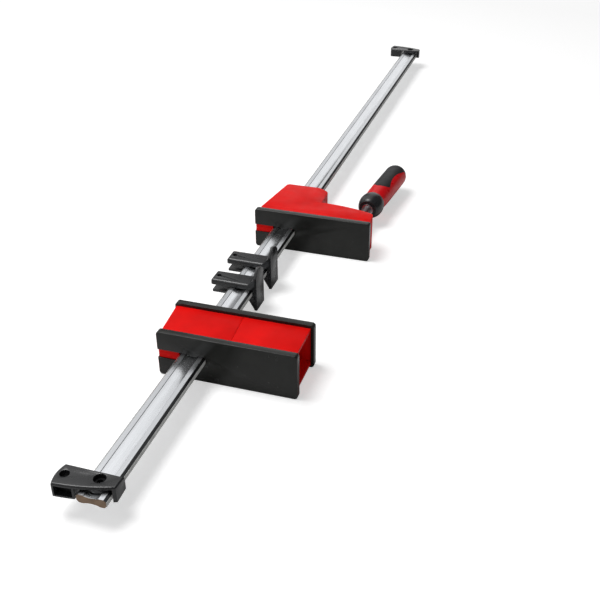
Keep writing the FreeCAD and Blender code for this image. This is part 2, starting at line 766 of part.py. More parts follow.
def make_catch_spring(label, end, inward):
    """A bowed leaf spring on the pocket's wall, behind the catch."""
    start = end + inward * catch_play
    centre = start + inward * spring_span / 2
    finish = start + inward * spring_span

    def section(sketch):
        outline(sketch, [
            (spring_wall, start),
            (spring_wall - spring_rise, centre),
            (spring_wall, finish),
            (spring_wall - spring_gauge, finish),
            (spring_wall - spring_rise - spring_gauge, centre),
            (spring_wall - spring_gauge, start),
        ])

    body = new_body(label)
    half = spring_height / 2
    add_prism(body, "XY_Plane", middle - half, middle + half, section)
    return body


# Moving jaw
def moving_plan(wall):
    """The housing seen from above, drawn in by a wall; zero gives its outside."""
    face = moving_front + wall
    back = -housing_back + wall
    side = hump_side - wall
    tip = housing_tip - wall
    rear = hump_rear - wall
    return [
        (back, face),
        (tip, face),
        (tip, jaw_opening + arm_tip_depth - wall),
        (tip - arm_tip_run, jaw_opening + arm_thin_depth - wall, arm_tip_round),
        (side, jaw_opening + arm_depth - wall, arm_arc),
        (side, rear),
        (-hump_rear_back + wall, rear),
        (back, moving_front + back_shoulder),
    ]


def make_moving_housing():
    def plan(sketch):
        outline(sketch, moving_plan(0))

    def cavity(sketch):
        outline(sketch, moving_plan(housing_wall))

    def corner(sketch):
        outline(sketch, [
            (hump_side + past, housing_high + past),
            (hump_side - facet_width, housing_high + past),
            (hump_side - facet_width, housing_high),
            (hump_side + past, housing_high - facet_drop),
        ])

    rear = hump_rear.value
    body = new_body("moving_housing")
    add_prism(body, "XY_Plane", housing_low, housing_high, plan)
    add_key(body, jaw_opening, 1, jaw_back)
    arm_rear = jaw_opening + arm_depth
    cut_prism(body, "XZ_Plane", arm_rear, hump_rear, corner)
    round_edges(body, hump_round, lambda place, way: runs_along(way, "z") and near(place.y, rear))
    cut_prism(body, "XY_Plane", cavity_low, cavity_high, cavity)
    cut_prism(body, "XZ_Plane", jaw_opening, hump_rear, rail_hole(slot_gap))
    bore_on_spindle(body, nut_rear + spindle_fit, arm_depth, spindle_radius + spindle_clearance)
    return body


def make_moving_core():
    front = jaw_opening + nut_front
    rear = hump_rear - housing_wall
    arm_rear = jaw_opening + arm_depth - housing_wall - core_gap
    nut_side = spindle_place + spindle_slope * nut_rear + nut_radius

    def plan(sketch):
        outline(sketch, [
            (-core_back, front),
            (nut_side + nut_wall, front),
            (nut_side + nut_wall, jaw_opening + nut_rear),
            (core_side, arm_rear),
            (core_side, rear),
            (-core_back, rear),
        ])

    body = new_body("moving_core")
    add_prism(body, "XY_Plane", middle - core_height / 2, middle + core_height / 2, plan)
    bore_on_spindle(body, foot_front, nut_rear + nut_wall + past, nut_radius)
    cut_prism(body, "XZ_Plane", front, rear, rail_hole(guide_gap))
    add_catch_pocket(body, rear, -1)
    return body


def make_nut():
    """The round nut pressed into the moving core."""
    bore = spindle_radius + spindle_fit
    body = new_body("spindle_nut")
    turn_round(body, "Revolution", [
        (bore, nut_front),
        (nut_radius, nut_front),
        (nut_radius, nut_rear),
        (bore, nut_rear),
    ])
    place_on_spindle(body)
    return body


def make_foot():
    """The pressure foot on the spindle's nose."""
    rear = foot_front + foot_thickness
    socket = spindle_nose_radius + spindle_fit
    body = new_body("pressure_foot")
    turn_round(body, "Revolution", [
        (0, foot_front),
        (foot_radius - foot_edge, foot_front),
        (foot_radius, foot_front + foot_edge),
        (foot_radius, rear),
        (socket, rear),
        (socket, foot_front + foot_edge),
        (0, foot_front + foot_edge),
    ])
    place_on_spindle(body)
    return body


# Spindle and handle, each turned about its own Y axis
def make_spindle():
    nose = foot_front + foot_edge + spindle_play
    screw = foot_front + foot_thickness + spindle_play
    tail = grip_rear - socket_recess

    def hexagon(sketch):
        half = hex_size / 2
        corner = hex_size / 3**0.5
        outline(sketch, [
            (corner, 0),
            (corner / 2, half),
            (-corner / 2, half),
            (-corner, 0),
            (-corner / 2, -half),
            (corner / 2, -half),
        ])

    body = new_body("spindle")
    turn_round(body, "Revolution", [
        (0, nose),
        (spindle_nose_radius, nose),
        (spindle_nose_radius, screw),
        (spindle_radius, screw + spindle_play),
        (spindle_radius, washer_front),
        (spindle_core_radius, washer_front),
        (spindle_core_radius, tail),
        (0, tail),
    ])
    cut_prism(body, "XZ_Plane", tail - hex_depth, tail, hexagon)
    place_on_spindle(body)
    return body


def make_washer():
    body = new_body("collar_washer")
    turn_round(body, "Revolution", [
        (spindle_core_radius, washer_front),
        (washer_radius, washer_front),
        (washer_radius, collar_place),
        (spindle_core_radius, collar_place),
    ])
    place_on_spindle(body)
    return body


def make_collar():
    """The barrel-shaped collar between spindle and grip."""
    body = new_body("handle_collar")
    turn_round(body, "Revolution", [
        (spindle_core_radius, collar_place),
        (collar_front_radius - collar_chamfer, collar_place),
        (collar_front_radius, collar_place + collar_chamfer),
        (collar_rear_radius, grip_front, collar_arc),
        (spindle_core_radius, grip_front),
    ])
    place_on_spindle(body)
    return body


def grip_profile(inset, bore):
    """Half the grip's outline, drawn in by an inset, with a bore along its axis."""
    swell = grip_radius - neck_radius
    swell_arc = (swell_length * swell_length + swell * swell) / (2 * swell)
    close = grip_radius - tail_radius
    tail_arc = (tail_length * tail_length + close * close) / (2 * close)
    return [
        (bore, grip_front),
        (neck_radius - inset, grip_front),
        (grip_radius - inset, grip_front + swell_length, swell_arc - inset),
        (grip_radius - inset, grip_rear - tail_length),
        (tail_radius - inset / 2, grip_rear - inset, tail_arc - inset),
        (bore, grip_rear - inset),
    ]


def inlay_region():
    """The soft inlay seen from above: two horns in front, a waist, and a cap round the end."""
    start = grip_front + inlay_start
    outside = grip_radius + past
    nose_arc = (inlay_horn * inlay_horn + inlay_nose * inlay_nose) / (2 * inlay_nose)
    right = [
        (inlay_horn, start + inlay_nose, nose_arc),
        (inlay_horn - inlay_taper, start + inlay_cap - inlay_flare, -inlay_waist_arc),
        (outside, start + inlay_cap, -inlay_cap_arc),
        (outside, grip_rear + past),
    ]
    left = [(-right[-1][0], right[-1][1])]
    for point, after in zip(reversed(right[:-1]), reversed(right)):
        left.append((-point[0], point[1], *after[2:]))
    return [(0, start)] + right + left


def make_grip():
    """The hard red body of the grip, with shallow beds for the soft inlay."""
    reach = grip_radius + past

    def beds(sketch):
        outline(sketch, inlay_region())

    body = new_body("handle_grip")
    turn_round(body, "Revolution", grip_profile(0, spindle_core_radius))
    cut_prism(body, "XY_Plane", -reach, reach, beds)
    turn_round(body, "Revolution", grip_profile(inlay_depth, spindle_core_radius))
    place_on_spindle(body)
    return body


def make_inlay():
    """The soft black inlay, which lies in the grip's beds and closes its end."""
    reach = grip_radius + past

    def around(sketch):
        wide = reach + past
        rectangle(sketch, -wide, grip_front - past, wide, grip_rear + past * 2)
        outline(sketch, inlay_region())

    body = new_body("handle_inlay")
    turn_round(body, "Revolution", grip_profile(0, socket_radius))
    cut_prism(body, "XY_Plane", -reach, reach, around)
    turn_round(body, "Groove", grip_profile(inlay_depth, 0))
    place_on_spindle(body)
    return body


# Rail pads
def make_pad(label, place):
    """A clip round the rail with a tall blade on the side of the jaw tips."""
    inner = half_rail + pad_gap
    clear = half_thickness + pad_gap
    over = clear + pad_upper
    under = clear + pad_lower
    outer = inner + pad_blade
    end_inner = outer - pad_blade_end
    hook = inner + pad_hook
    lip = clear - pad_hook
    rear = place + pad_length
    arm_rear = place + pad_arm_width

    def profile(sketch):
        points = [
            (-pad_arm_reach, over),
            (-pad_arm_reach, clear),
            (-hook, clear),
            (-hook, lip),
            (-inner, lip),
            (-inner, clear),
            (inner, clear),
            (inner, -clear),
            (-inner, -clear),
            (-inner, -lip),
            (-hook, -lip),
            (-hook, -clear),
            (-pad_arm_reach, -clear),
            (-pad_arm_reach, -under),
            (end_inner - pad_gusset_run, -under),
            (end_inner, pad_gusset_gap - pad_foot),
            (outer, pad_gusset_gap - pad_foot),
            (outer, pad_shoulder - pad_gusset_gap),
            (end_inner, pad_shoulder - pad_gusset_gap),
            (end_inner - pad_gusset_run, over),
        ]
        outline(sketch, [(x, middle + z) for x, z in points])

    def blade(sketch):
        points = [
            (place, pad_shoulder),
            (place, -pad_foot),
            (rear, -pad_foot),
            (rear, pad_peak - pad_rear_drop * 2),
            (rear - pad_rear_run, pad_peak - pad_rear_drop),
            (place + pad_peak_run, pad_peak),
        ]
        outline(sketch, [(y, middle + z) for y, z in points])

    def setback(sketch):
        rectangle(sketch, -pad_arm_reach - past, place, 0, place + pad_setback)

    def hole(sketch):
        circle(sketch, -pad_arm_reach + pad_hole_inset, place + pad_arm_width / 2, pad_hole_radius)

    end_x = -pad_arm_reach.value
    body = new_body(label)
    add_prism(body, "XZ_Plane", place, arm_rear, profile)
    round_edges(body, pad_chamfer, lambda place, way: runs_along(way, "z") and near(place.x, end_x))
    brow_z = middle + over
    front = as_size(place)
    round_edges(body, pad_brow, lambda place, way: (
        near(place.z, brow_z) and near(place.y, front) and runs_along(way, "x")
    ))
    add_prism(body, "YZ_Plane", end_inner, outer, blade)
    cut_prism(body, "XY_Plane", middle - under, middle - clear + pad_hook, setback)
    cut_prism(body, "XY_Plane", middle + clear, middle + over, hole)
    return body


# The assembly
outer_core_front = outer_front + housing_wall
moving_core_rear = hump_rear - housing_wall

nodes = [
    make_rail(),
    make_stop("near_end_stop", near_end, 1),
    make_stop("far_end_stop", far_end, -1),
    make_peg("near_stop_peg", near_end, 1),
    make_peg("far_stop_peg", far_end, -1),
    make_outer_housing(),
    make_cover("outer_back_cover", -outer_depth, 1, jaw_back, back_rim),
    make_cover("outer_face_cover", as_size(0), -1, outer_face_back, back_rim),
    make_outer_core(),
    make_catch("outer_catch", outer_core_front, 1),
    make_catch_pin("outer_catch_pin", outer_core_front, 1),
    make_catch_spring("outer_catch_spring", outer_core_front, 1),
    make_moving_housing(),
    make_cover("moving_face_cover", jaw_opening, 1, jaw_back, cover_rim),
    make_moving_core(),
    make_catch("moving_catch", moving_core_rear, -1),
    make_catch_pin("moving_catch_pin", moving_core_rear, -1),
    make_catch_spring("moving_catch_spring", moving_core_rear, -1),
    make_nut(),
    make_foot(),
    make_spindle(),
    make_washer(),
    make_collar(),
    make_grip(),
    make_inlay(),
    make_pad("near_pad", pad_place_near),
    make_pad("far_pad", pad_place_far),
]

doc.recompute()

for thing in doc.Objects:
    if "Invalid" in thing.State or "Error" in thing.State:
        raise RuntimeError(f"{thing.Label} failed: {thing.State}")

os.makedirs("parts", exist_ok=True)
for body in nodes:
    shape = body.Shape
    if shape.isNull() or not shape.isValid():
        raise RuntimeError(f"{body.Label} has no valid shape")
    box = shape.BoundBox
    print(
        f"{body.Label:20s} solids {len(shape.Solids)} volume {shape.Volume:10.1f}"
        f" x {box.XMin:8.2f} {box.XMax:8.2f} y {box.YMin:8.2f} {box.YMax:8.2f}"
        f" z {box.ZMin:7.2f} {box.ZMax:7.2f}"
    )
    shape.exportStep(f"parts/{body.Label}.step")
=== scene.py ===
import math

import bmesh
import bpy
from mathutils import Matrix, Vector


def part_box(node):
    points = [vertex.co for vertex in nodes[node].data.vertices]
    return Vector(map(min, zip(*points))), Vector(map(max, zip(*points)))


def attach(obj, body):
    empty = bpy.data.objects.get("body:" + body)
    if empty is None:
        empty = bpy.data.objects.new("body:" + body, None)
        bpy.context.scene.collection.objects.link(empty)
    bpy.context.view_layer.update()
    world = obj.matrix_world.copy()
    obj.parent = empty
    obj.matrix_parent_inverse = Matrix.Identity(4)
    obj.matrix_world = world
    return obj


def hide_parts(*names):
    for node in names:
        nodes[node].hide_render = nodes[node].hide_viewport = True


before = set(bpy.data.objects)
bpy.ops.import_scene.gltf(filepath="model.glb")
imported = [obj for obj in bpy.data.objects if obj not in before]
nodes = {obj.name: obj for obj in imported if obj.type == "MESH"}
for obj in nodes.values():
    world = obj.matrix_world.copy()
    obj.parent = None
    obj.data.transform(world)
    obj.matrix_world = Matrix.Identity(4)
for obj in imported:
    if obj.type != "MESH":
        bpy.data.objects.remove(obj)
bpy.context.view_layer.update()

MM = 0.001
scene = bpy.context.scene
scene.view_settings.view_transform = "Standard"


def mm(*numbers):
    """A vector written in millimetres."""
    return Vector(numbers) * MM


# Camera
CAMERA_PLACE = mm(331.3, -739.1, 561.3)
CAMERA_AZIMUTH = math.radians(-17.76)
CAMERA_DROP = math.radians(32.00)
CAMERA_ROLL = math.radians(-0.29)
CAMERA_LENS = 53.88
CAMERA_SENSOR = 36
CAMERA_CLIP = (0.02, 40)


def make_camera():
    """The camera, from its place, its heading, its downward tilt, its roll and its lens."""
    level = math.cos(CAMERA_DROP)
    forward = Vector((
        math.sin(CAMERA_AZIMUTH) * level,
        math.cos(CAMERA_AZIMUTH) * level,
        -math.sin(CAMERA_DROP),
    ))
    right = forward.cross(Vector((0, 0, 1))).normalized()
    up = right.cross(forward)
    side = math.cos(CAMERA_ROLL) * right + math.sin(CAMERA_ROLL) * up
    top = math.cos(CAMERA_ROLL) * up - math.sin(CAMERA_ROLL) * right
    data = bpy.data.cameras.new("camera")
    data.lens = CAMERA_LENS
    data.sensor_width = CAMERA_SENSOR
    data.clip_start, data.clip_end = CAMERA_CLIP
    camera = bpy.data.objects.new("camera", data)
    turn = Matrix((side, top, -forward)).transposed().to_4x4()
    camera.matrix_world = Matrix.Translation(CAMERA_PLACE) @ turn
    scene.collection.objects.link(camera)
    scene.camera = camera


# Helpers for shaders
def map_range(tree, value, source, target):
    """Map a value from one range onto another."""
    node = tree.nodes.new("ShaderNodeMapRange")
    node.inputs["From Min"].default_value, node.inputs["From Max"].default_value = source
    node.inputs["To Min"].default_value, node.inputs["To Max"].default_value = target
    tree.links.new(value, node.inputs["Value"])
    return node.outputs["Result"]


def combine(tree, kind, first, second):
    """Two values put together by a math operation, such as MULTIPLY."""
    node = tree.nodes.new("ShaderNodeMath")
    node.operation = kind
    tree.links.new(first, node.inputs[0])
    tree.links.new(second, node.inputs[1])
    return node.outputs[0]


# Materials, with sizes and depths in metres
NOISE_SPAN = (0.3, 0.7)  # the span that noise values mostly stay in
PLASTIC_DRIFT = 0.035
PLASTIC_GLOSS = 0.012
PLASTIC_WAVE = 0.06
PLASTIC_WAVE_DEPTH = 0.00012
STREAK_SIZE = 0.0009
STREAK_STRETCH = (1, 90, 1)
MOTTLE_SIZE = 0.008
MOTTLE_STRETCH = (1, 3.5, 1)
MOTTLE_SHADE = 0.55
SCRATCH_SIZE = 0.0005
SCRATCH_STRETCH = (1, 140, 1)
METAL_DRIFT = 0.006
METAL_GLOSS = 0.003
# Shares of a finish's roughness between which it varies, and of a metal's colour
SHEEN = (0.85, 1.15)
METAL_SHEEN = (0.8, 1.25)
METAL_LIGHT = 1.15
METAL_DARK = 0.8


class Finish:
    """A material in the making, with short names for the nodes it uses."""

    def __init__(self, name, colour, roughness, metallic=0.0, specular=0.5):
        self.material = bpy.data.materials.new(name)
        self.material.use_nodes = True
        self.tree = self.material.node_tree
        self.surface = self.tree.nodes["Principled BSDF"]
        self.surface.inputs["Base Color"].default_value = (*colour, 1)
        self.surface.inputs["Roughness"].default_value = roughness
        self.surface.inputs["Metallic"].default_value = metallic
        self.surface.inputs["Specular IOR Level"].default_value = specular
        self.place = self.tree.nodes.new("ShaderNodeTexCoord").outputs["Object"]
        self.normal = None

    def add(self, kind, **settings):
        """A new node with these settings."""
        node = self.tree.nodes.new(kind)
        for name, value in settings.items():
            setattr(node, name, value)
        return node

    def link(self, output, socket):
        self.tree.links.new(output, socket)

    def noise(self, size, detail=3.0, stretch=(1, 1, 1)):
        """Noise whose grains are about one size, in metres, and drawn out along the axes."""
        mapping = self.add("ShaderNodeMapping")
        mapping.inputs["Scale"].default_value = [1 / part for part in stretch]
        self.link(self.place, mapping.inputs["Vector"])
        texture = self.add("ShaderNodeTexNoise")
        texture.inputs["Scale"].default_value = 1 / size
        texture.inputs["Detail"].default_value = detail
        self.link(mapping.outputs["Vector"], texture.inputs["Vector"])
        return texture.outputs["Fac"]

    def spread(self, value, low, high):
        """A value between two numbers that follows a noise value."""
        return map_range(self.tree, value, NOISE_SPAN, (low, high))

    def blend(self, factor, first, second):
        """A colour between two others."""
        node = self.add("ShaderNodeMix", data_type="RGBA")
        self.link(factor, node.inputs["Factor"])
        for socket, colour in ((node.inputs["A"], first), (node.inputs["B"], second)):
            if isinstance(colour, tuple):
                socket.default_value = (*colour, 1)
            else:
                self.link(colour, socket)
        return node.outputs["Result"]

    def vary_colour(self, value, light, dark):
        """Let the colour run from the dark one to the light one with a noise value."""
        result = self.blend(self.spread(value, 0, 1), dark, light)
        self.link(result, self.surface.inputs["Base Color"])
        return result

    def vary_roughness(self, value, roughness, shares):
        """Let the roughness follow a noise value between two shares of it."""
        low, high = (roughness * share for share in shares)
        self.link(self.spread(value, low, high), self.surface.inputs["Roughness"])

    def bump(self, height, depth):
        """Raise the surface by a height value times a depth in metres."""
        node = self.add("ShaderNodeBump")
        node.inputs["Strength"].default_value = 1
        node.inputs["Distance"].default_value = depth
        self.link(height, node.inputs["Height"])
        if self.normal:
            self.link(self.normal, node.inputs["Normal"])
        self.normal = node.outputs["Normal"]
        self.link(self.normal, self.surface.inputs["Normal"])


def shade(colour, factor):
    """A colour made lighter or darker by a factor."""
    return tuple(min(part * factor, 1.0) for part in colour)


def moulded(name, colour, roughness, grain, depth, specular=0.5, worn=1.12):
    """Moulded plastic: fine grain, slow colour drift and patches of more or less gloss."""
    finish = Finish(name, colour, roughness, specular=specular)
    drift = finish.noise(PLASTIC_DRIFT, 4)
    finish.vary_colour(drift, shade(colour, worn), shade(colour, 1 / worn))
    gloss = finish.noise(PLASTIC_GLOSS, 5)
    finish.vary_roughness(gloss, roughness, SHEEN)
    finish.bump(finish.noise(PLASTIC_WAVE, 2), PLASTIC_WAVE_DEPTH)
    finish.bump(finish.noise(grain, 2), depth)
    return finish.material


def drawn_steel(name, colour, roughness, streak, mottle, scratch=0.000004):
    """Bright steel drawn lengthwise: long streaks, a little mottling and fine scratches."""
    finish = Finish(name, colour, roughness, metallic=1.0)
    lines = finish.noise(STREAK_SIZE, 3, STREAK_STRETCH)
    patches = finish.noise(MOTTLE_SIZE, 5, MOTTLE_STRETCH)
    dark = shade(colour, 1 - streak)
    streaks = finish.vary_colour(lines, colour, dark)
    veil = finish.spread(patches, 0, mottle)
    tinted = finish.blend(veil, streaks, shade(colour, MOTTLE_SHADE))
    finish.link(tinted, finish.surface.inputs["Base Color"])
    finish.vary_roughness(patches, roughness, SHEEN)
    finish.bump(finish.noise(SCRATCH_SIZE, 2, SCRATCH_STRETCH), scratch)
    return finish.material


def plain_steel(name, colour, roughness, grain=0.0006, depth=0.00002, metallic=1.0):
    """Turned, cast or blackened metal with an even fine grain."""
    finish = Finish(name, colour, roughness, metallic=metallic)
    drift = finish.noise(METAL_DRIFT, 5)
    finish.vary_colour(drift, shade(colour, METAL_LIGHT), shade(colour, METAL_DARK))
    finish.vary_roughness(finish.noise(METAL_GLOSS, 4), roughness, METAL_SHEEN)
    finish.bump(finish.noise(grain, 3), depth)
    return finish.material


RED = (0.82, 0.007, 0.006)
GRIP_RED = (0.74, 0.003, 0.008)
COVER_BLACK = (0.020, 0.0205, 0.019)
SATIN_BLACK = (0.014, 0.0145, 0.016)
# The pegs' black is darker than the other blacks: partly their own black plastic, partly painted
# shade for the deep holes they sit in.
PEG_BLACK_AND_SHADE = (0.005, 0.005, 0.006)
SOFT_BLACK = (0.012, 0.012, 0.013)
ZINC = (0.86, 0.88, 0.91)

MATERIALS = {
    "red_housing": moulded("red_housing", RED, 0.42, 0.0008, 0.00002, specular=0.06),
    "red_grip": moulded("red_grip", GRIP_RED, 0.30, 0.0009, 0.00001, specular=0.2),
    "black_cover": moulded(
        "black_cover", COVER_BLACK, 0.24, 0.0007, 0.00001, specular=0.25, worn=1.3),
    "black_satin": moulded("black_satin", SATIN_BLACK, 0.28, 0.0009, 0.00002, worn=1.3),
    "peg_black_and_shade": moulded("peg_black_and_shade", PEG_BLACK_AND_SHADE, 0.6, 0.0009, 0.00002, specular=0.1),
    "soft_inlay": moulded(
        "soft_inlay", SOFT_BLACK, 0.55, 0.0011, 0.00006, specular=0.35, worn=1.3),
    "zinc_groove": drawn_steel("zinc_groove", ZINC, 0.22, 0.10, 0.10, 0.000002),
    # The lands, bevels and step edges of the rail are darker copies of the groove's zinc: painted
    # shade for the dimmer light their faces mirror.
    "zinc_land_painted_shade": drawn_steel("zinc_land_painted_shade", shade(ZINC, 0.80), 0.28, 0.12, 0.14),
    "zinc_bevel_painted_shade": drawn_steel("zinc_bevel_painted_shade", shade(ZINC, 0.45), 0.20, 0.2, 0.2),
    "zinc_edge_painted_shade": drawn_steel("zinc_edge_painted_shade", shade(ZINC, 0.7), 0.30, 0.2, 0.2),
    "tooth_steel": plain_steel("tooth_steel", (0.42, 0.42, 0.41), 0.42),
    "sawn_end": plain_steel("sawn_end", (0.28, 0.20, 0.14), 0.55, 0.0004, 0.00006),
    "dark_steel": plain_steel("dark_steel", (0.13, 0.13, 0.14), 0.42),
    "cast_core": plain_steel(
        "cast_core", (0.10, 0.10, 0.11), 0.6, 0.0012, 0.0001, metallic=0.6),
    "screw_steel": plain_steel("screw_steel", (0.30, 0.30, 0.31), 0.34, 0.0005, 0.00001),
    "spring_blue": plain_steel("spring_blue", (0.22, 0.24, 0.30), 0.3),
    "bright_steel": plain_steel("bright_steel", (0.72, 0.73, 0.75), 0.28),
    "nut_brass": plain_steel("nut_brass", (0.66, 0.47, 0.20), 0.3),
}

NODE_MATERIALS = {
    "near_end_stop": "black_satin",
    "far_end_stop": "black_satin",
    "near_stop_peg": "peg_black_and_shade",
    "far_stop_peg": "peg_black_and_shade",
    "outer_housing": "red_housing",
    "outer_back_cover": "black_cover",
    "outer_face_cover": "black_cover",
    "outer_core": "cast_core",
    "outer_catch": "dark_steel",
    "outer_catch_pin": "dark_steel",
    "outer_catch_spring": "spring_blue",
    "moving_housing": "red_housing",
    "moving_face_cover": "black_cover",
    "moving_core": "cast_core",
    "moving_catch": "dark_steel",
    "moving_catch_pin": "dark_steel",
    "moving_catch_spring": "spring_blue",
    "spindle_nut": "nut_brass",
    "pressure_foot": "dark_steel",
    "spindle": "dark_steel",
    "collar_washer": "bright_steel",
    "handle_collar": "black_satin",
    "handle_grip": "red_grip",
    "handle_inlay": "soft_inlay",
    "near_pad": "black_satin",
    "far_pad": "black_satin",
    "rail": "zinc_groove",
}


# Softened edges of the CAD nodes
SHARP_ANGLE = math.radians(30)
FLAT_ANGLE = math.radians(0.5)
WELD_REACH = 0.000002


def smooth_group():
    """Drop the normals that came with a mesh and shade all but its sharp edges smooth."""
    group = bpy.data.node_groups.new("smooth_by_angle", "GeometryNodeTree")
    group.interface.new_socket("Geometry", in_out="INPUT", socket_type="NodeSocketGeometry")
    group.interface.new_socket("Geometry", in_out="OUTPUT", socket_type="NodeSocketGeometry")
    start = group.nodes.new("NodeGroupInput")
    end = group.nodes.new("NodeGroupOutput")
    drop = group.nodes.new("GeometryNodeRemoveAttribute")
    drop.inputs["Name"].default_value = "custom_normal"
    faces = group.nodes.new("GeometryNodeSetShadeSmooth")
    edges = group.nodes.new("GeometryNodeSetShadeSmooth")
    edges.domain = "EDGE"
    angle = group.nodes.new("GeometryNodeInputMeshEdgeAngle")
    blunt = group.nodes.new("FunctionNodeCompare")
    blunt.operation = "LESS_EQUAL"
    blunt.inputs["B"].default_value = SHARP_ANGLE
    link = group.links.new
    link(start.outputs[0], drop.inputs["Geometry"])
    link(drop.outputs["Geometry"], faces.inputs["Geometry"])
    link(faces.outputs["Geometry"], edges.inputs["Geometry"])
    link(angle.outputs["Unsigned Angle"], blunt.inputs["A"])
    link(blunt.outputs["Result"], edges.inputs["Shade Smooth"])
    link(edges.outputs["Geometry"], end.inputs[0])
    return group


SMOOTH = smooth_group()


def soften(piece, width):
    """Join the node's faces, round its sharp edges a little and smooth the rest."""
    weld = piece.modifiers.new("weld", "WELD")
    weld.merge_threshold = WELD_REACH
    flat = piece.modifiers.new("flat", "DECIMATE")
    flat.decimate_type = "DISSOLVE"
    flat.angle_limit = FLAT_ANGLE
    if width:
        bevel = piece.modifiers.new("bevel", "BEVEL")
        bevel.width = width
        bevel.segments = 2
        bevel.limit_method = "ANGLE"
        bevel.angle_limit = SHARP_ANGLE
    smooth = piece.modifiers.new("smooth", "NODES")
    smooth.node_group = SMOOTH


# Bevels of the nodes' sharp edges, in millimetres
EDGE_WIDTHS = {
    "outer_housing": 0.5,
    "moving_housing": 0.8,
    "outer_back_cover": 0.25,
    "outer_face_cover": 0.25,
    "moving_face_cover": 0.25,
    "near_end_stop": 0.35,
    "far_end_stop": 0.35,
    "near_pad": 0.4,
    "far_pad": 0.4,
    "handle_collar": 0.4,
    "collar_washer": 0.2,
}

for name, piece in nodes.items():
    piece.data.materials.clear()
    piece.data.materials.append(MATERIALS[NODE_MATERIALS[name]])
    soften(piece, EDGE_WIDTHS.get(name, 0) * MM)


def make_piece(name, mesh, body, slot, *replaced):
    """Put a finished mesh into the scene as a piece on a body."""
    piece = bpy.data.objects.new(name, mesh)
    scene.collection.objects.link(piece)
    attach(piece, body)
    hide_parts(*replaced)
    return piece


# Rail with its hollow faces and toothed narrow sides, in millimetres. The hollow starts at
# HOLLOW_EDGE above the rail's middle plane and is HOLLOW_DEPTH deeper in its middle.
RAIL_MIDDLE = 26.25
RAIL_TOP = 4.5
TOOTH_PITCH = 2.0
TOOTH_DEPTH = 0.45
TOOTH_CREST = 0.6
TOOTH_ROOT = 1.7
TOOTH_SINK = 0.05
SIDE_TOP = 2.2
LAND_OUTSIDE = 11.8
LAND_INSIDE = 7.1
HOLLOW_HALF = 6.7
HOLLOW_EDGE = 4.05
HOLLOW_DEPTH = 0.95
HOLLOW_STEPS = 14


def rail_section(half_width):
    """The rail's outline, corner by corner from the right side up, and each side's finish."""
    radius = (HOLLOW_HALF ** 2 + HOLLOW_DEPTH ** 2) / (2 * HOLLOW_DEPTH)
    sweep = math.asin(HOLLOW_HALF / radius)
    hollow = []
    for i in range(HOLLOW_STEPS + 1):
        turn = sweep * (1 - 2 * i / HOLLOW_STEPS)
        rise = radius * (math.cos(sweep) - math.cos(turn))
        hollow.append((radius * math.sin(turn), HOLLOW_EDGE + rise))
    right = [(half_width, SIDE_TOP), (LAND_OUTSIDE, RAIL_TOP), (LAND_INSIDE, RAIL_TOP)]
    top = right + hollow + [(-x, z) for x, z in reversed(right)]
    # The bevels, lands and step edges take darker copies of the zinc: painted shade.
    shaded_shoulder = ["zinc_bevel_painted_shade", "zinc_land_painted_shade", "zinc_edge_painted_shade"]
    finishes = shaded_shoulder + ["zinc_groove"] * HOLLOW_STEPS + shaded_shoulder[::-1] + ["tooth_steel"]
    return top + [(-x, -z) for x, z in top], finishes * 2


def add_tooth(build, side, root, crest, y, material):
    """One tooth of a narrow side, closed all round and sunk a little into the bar."""
    gap = (TOOTH_ROOT - TOOTH_CREST) / 2
    plan = [(root, y), (crest, y + gap), (crest, y + gap + TOOTH_CREST), (root, y + TOOTH_ROOT)]
    rings = []
    for z in (-SIDE_TOP, SIDE_TOP):
        rings.append([build.verts.new(mm(side * x, along, RAIL_MIDDLE + z)) for x, along in plan])
    low, high = rings
    faces = [low, high]
    for i in range(4):
        after = (i + 1) % 4
        faces.append((low[i], low[after], high[after], high[i]))
    for corners in faces:
        build.faces.new(corners).material_index = material


def make_rail():
    """The rail as one bar with its teeth, over the length of the CAD rail."""
    low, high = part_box("rail")
    names = ["zinc_groove", "zinc_land_painted_shade", "zinc_bevel_painted_shade", "zinc_edge_painted_shade", "tooth_steel", "sawn_end"]
    mesh = bpy.data.meshes.new("rail_bar")
    for name in names:
        mesh.materials.append(MATERIALS[name])
    build = bmesh.new()
    crest = high.x / MM
    near, far = low.y / MM, high.y / MM
    points, finishes = rail_section(crest - TOOTH_DEPTH)
    rings = []
    for y in (near, far):
        rings.append([build.verts.new(mm(x, y, RAIL_MIDDLE + z)) for x, z in points])
    for i, finish in enumerate(finishes):
        after = (i + 1) % len(points)
        face = build.faces.new((rings[0][i], rings[0][after], rings[1][after], rings[1][i]))
        face.material_index = names.index(finish)
        face.smooth = finish == "zinc_groove"
    for ring in rings:
        build.faces.new(ring).material_index = names.index("sawn_end")
    for edge in build.edges:
        edge.smooth = all(face.smooth for face in edge.link_faces)
    root = crest - TOOTH_DEPTH - TOOTH_SINK
    for i in range(int((far - near) / TOOTH_PITCH)):
        for side in (-1, 1):
            add_tooth(build, side, root, crest, near + i * TOOTH_PITCH, names.index("tooth_steel"))
    bmesh.ops.recalc_face_normals(build, faces=build.faces)
    build.to_mesh(mesh)
    build.free()
    make_piece("rail_bar", mesh, "rail", "rail_steel", "rail")


# Spindle with its screw thread, in millimetres along its axis from the moving clamping face
SPINDLE_PLACE = mm(78.1, 228.3, RAIL_MIDDLE)
SPINDLE_LEAN = math.atan(0.1)
SPINDLE_NOSE = (23.6, 27.5)
SPINDLE_SCREW = (26.6, 92.0)
SPINDLE_SHAFT = (91.0, 220.0)
NOSE_RADIUS = 3.0
SHAFT_RADIUS = 5.0
THREAD_PITCH = 3.0
THREAD_FORM = ((0.0, 6.0), (0.9, 6.0), (1.5, 4.7), (2.4, 4.7))
HEXAGON_WIDTH = 6.0
HEXAGON_DEPTH = 8.0
ROUND_STEPS = 36
SEAM_REACH = 0.0000001


